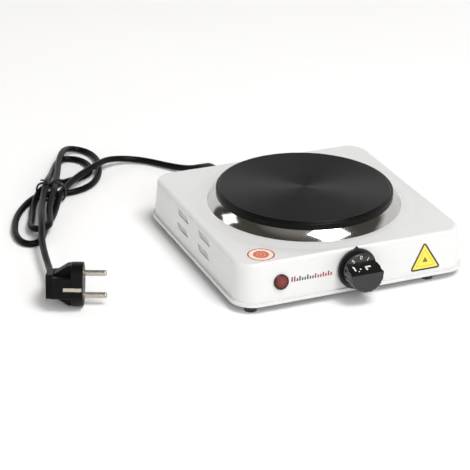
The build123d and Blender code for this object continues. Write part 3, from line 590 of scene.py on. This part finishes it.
places = np.linspace(TICKS_FIRST, TICKS_LAST, len(heights))
ticks = [
    (bar(0.7, h / 2, 0.35), (u, TICKS_FOOT + h / 2, INK_CLEAR), (1, 0, 0), (0, 1, 0))
    for u, h in zip(places, heights)
]
printed("panel_ticks", ticks, two_tone, "burner")

# ---------------------------------------------------------------- stickers
# Two printed paper labels under clear varnish: a yellow triangle with a dark
# line round it, and an orange rosette on the top. Both plain pictures.
PAPER_FIBRE = 0.83
low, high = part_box("triangle_sticker")
TRIANGLE_AT = ((low.x + high.x) / 2 / MM, -1.8)
SIDE_ACROSS, SIDE_UP = 0.86, 0.51  # the way a sloping side faces
SIDE_OFF, BASE_OFF, CORNER_ROUND = 7.04, 11.3, 1.2  # the sides and the base from that point
PRINT_DEEP = 8.0
yellow, tree, principled, place = finish_of(
    "varnished_yellow_paper", Roughness=0.32, Coat_Weight=0.4, Coat_Roughness=0.1
)
part, flat = across_panel(tree, place, *TRIANGLE_AT)
wide, high_up = node(tree, "Math", {0: part.outputs[0]}, operation="ABSOLUTE"), part.outputs[1]
lift = node(tree, "Math", {0: high_up, 1: SIDE_UP, 2: -SIDE_OFF}, operation="MULTIPLY_ADD").outputs[0]
flank = {0: wide.outputs[0], 1: SIDE_ACROSS, 2: lift}
slant = node(tree, "Math", flank, operation="MULTIPLY_ADD").outputs[0]
base = node(tree, "Math", {0: high_up, 1: -1.0, 2: -BASE_OFF}, operation="MULTIPLY_ADD").outputs[0]
inward = node(tree, "Math", {0: slant, 1: base, 2: CORNER_ROUND}, operation="SMOOTH_MAX").outputs[0]
depth = node(tree, "MapRange", {"Value": inward, "From Min": -PRINT_DEEP, "From Max": 0.0}).outputs[0]
feed(principled, "Base Color", node(tree, "ValToRGB", {"Fac": depth}, stops=(
    (0.0, "#6a6135"), (0.13, "#6a6135"), (0.15, "#ecd444"), (0.50, "#ecd444"), (0.52, "#b5a548"),
    (0.56, "#b5a548"), (0.58, "#ecd444"), (0.79, "#ecd444"), (0.83, "#2b281c"), (1.0, "#2b281c"),
)))
fibre = node(tree, "TexNoise", {"Vector": flat, "Scale": 1 / PAPER_FIBRE, "Detail": 3.0}).outputs[0]
feed(principled, "Normal", node(tree, "Bump", {"Height": fibre, "Distance": 0.01 * MM}))
dress(yellow, "triangle_sticker")

# The rosette's rings wander by about a millimetre, as soft ink does.
ROSETTE_R, WANDER, WANDER_LONG = 13.3, 1.1, 2.0
low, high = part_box("round_sticker")
rosette, tree, principled, place = finish_of(
    "varnished_orange_paper", Roughness=0.32, Coat_Weight=0.4, Coat_Roughness=0.1
)
centred = {"Vector": place, "Location": (low + high) / 2, "Scale": IN_MM}
middle = node(tree, "Mapping", centred, vector_type="TEXTURE").outputs[0]
level = node(tree, "VectorMath", {0: middle, 1: (1, 1, 0)}, operation="MULTIPLY").outputs[0]
radius = node(tree, "VectorMath", {0: level}, operation="LENGTH").outputs["Value"]
wobble = node(tree, "TexNoise", {"Vector": level, "Scale": 1 / WANDER_LONG, "Detail": 2.0}).outputs[0]
radius = node(tree, "Math", {0: wobble, 1: WANDER, 2: radius}, operation="MULTIPLY_ADD").outputs[0]
share = node(tree, "Math", {0: radius, 1: ROSETTE_R}, operation="DIVIDE").outputs[0]
feed(principled, "Base Color", node(tree, "ValToRGB", {"Fac": share}, stops=(
    (0.0, "#f0b99c"), (0.08, "#f0b99c"), (0.12, "#c9583a"), (0.25, "#d0603f"), (0.30, "#e39a7c"),
    (0.35, "#cd5c3c"), (0.53, "#c65636"), (0.58, "#f6e2d2"), (0.70, "#f3d9c6"), (0.79, "#f6e2d2"),
    (0.83, "#84402c"), (0.89, "#84402c"), (0.93, "#f7d8cf"),
)))
fibre = node(tree, "TexNoise", {"Vector": middle, "Scale": 1 / PAPER_FIBRE, "Detail": 3.0}).outputs[0]
feed(principled, "Normal", node(tree, "Bump", {"Height": fibre, "Distance": 0.01 * MM}))
dress(rosette, "round_sticker")

# ---------------------------------------------------------------- inside
# What the tray hides: the heating coil in its packed magnesia, the shield and
# its clamp, the thermostat with its shaft and clip, the lamp, the terminal
# block and the wiring. Each has the finish of its own trade.
oxide = mottled(
    "oxidised_coil_wire", "#3b3836", "#5a5450", cloud=3.33, grain=0.67, depth=0.01,
    Metallic=1.0, Roughness=0.5,
)
dress(oxide, "heating_coil")
magnesia = mottled(
    "pressed_magnesia", "#c9c4b8", "#dad6cb", cloud=8.33, grain=1.11, depth=0.12, Roughness=0.9
)
dress(magnesia, "insulating_filler")
rolled = mottled(
    "rolled_aluminised_sheet", "#a3a5a7", "#bfc1c3", cloud=33.3, grain=3.33, depth=0.01,
    stretch=(8, 1, 1), Metallic=1.0, Roughness=0.36,
)
dress(rolled, "heat_shield", "clamp_strap", "thermostat_bracket")
dress(
    plated, "centre_stud", "clamp_washer", "clamp_nut", "thermostat_screws", "thermostat_shaft",
    "cord_clamp", "terminal_screws", "earth_screw",
)
ceramic = mottled("glazed_steatite", "#dcd8cc", "#ebe7dc", cloud=16.7, grain=2, depth=0.02, Roughness=0.18)
dress(ceramic, "plate_terminal_block", "thermal_cutout", "thermostat_body")
brass = mottled(
    "rolled_brass", "#a98a4c", "#c4a565", cloud=12.5, grain=1.43, depth=0.01,
    stretch=(1, 6, 1), Metallic=1.0, Roughness=0.32,
)
dress(brass, "plate_terminals", "thermostat_terminals")
spring = mottled(
    "blued_spring_steel", "#3c4048", "#565b64", cloud=3.33, grain=0.67, depth=0.01,
    Metallic=1.0, Roughness=0.35,
)
dress(spring, "knob_spring_clip")
lamp_glass = mottled(
    "pinched_lamp_glass", "#d8b9a6", "#e6cdbd", cloud=5, grain=1.67, depth=0.02,
    Roughness=0.05, IOR=1.5, Transmission_Weight=0.8,
)
dress(lamp_glass, "neon_lamp")
terminal = mottled("moulded_polyamide", "#cfcec8", "#dcdbd5", cloud=5, grain=0.83, depth=0.03, Roughness=0.5)
dress(terminal, "mains_terminal_block")
for name, dark, light, covered in (
    ("brown_pvc_insulation", "#4c2a18", "#5e3822", ["live_wire", "switched_wire"]),
    ("blue_pvc_insulation", "#1f4a96", "#2e5dab", ["neutral_wire"]),
    ("green_yellow_insulation", "#5d9a2c", "#c9c23a", ["earth_wire"]),
    ("woven_glass_sleeve", "#cbc5b6", "#e2ddcf", ["lamp_wire"]),
    ("grey_inner_sheath", "#3a3a3a", "#474747", ["inner_cord"]),
):
    dress(mottled(name, dark, light, cloud=3.85, grain=0.83, depth=0.03, Roughness=0.4), *covered)
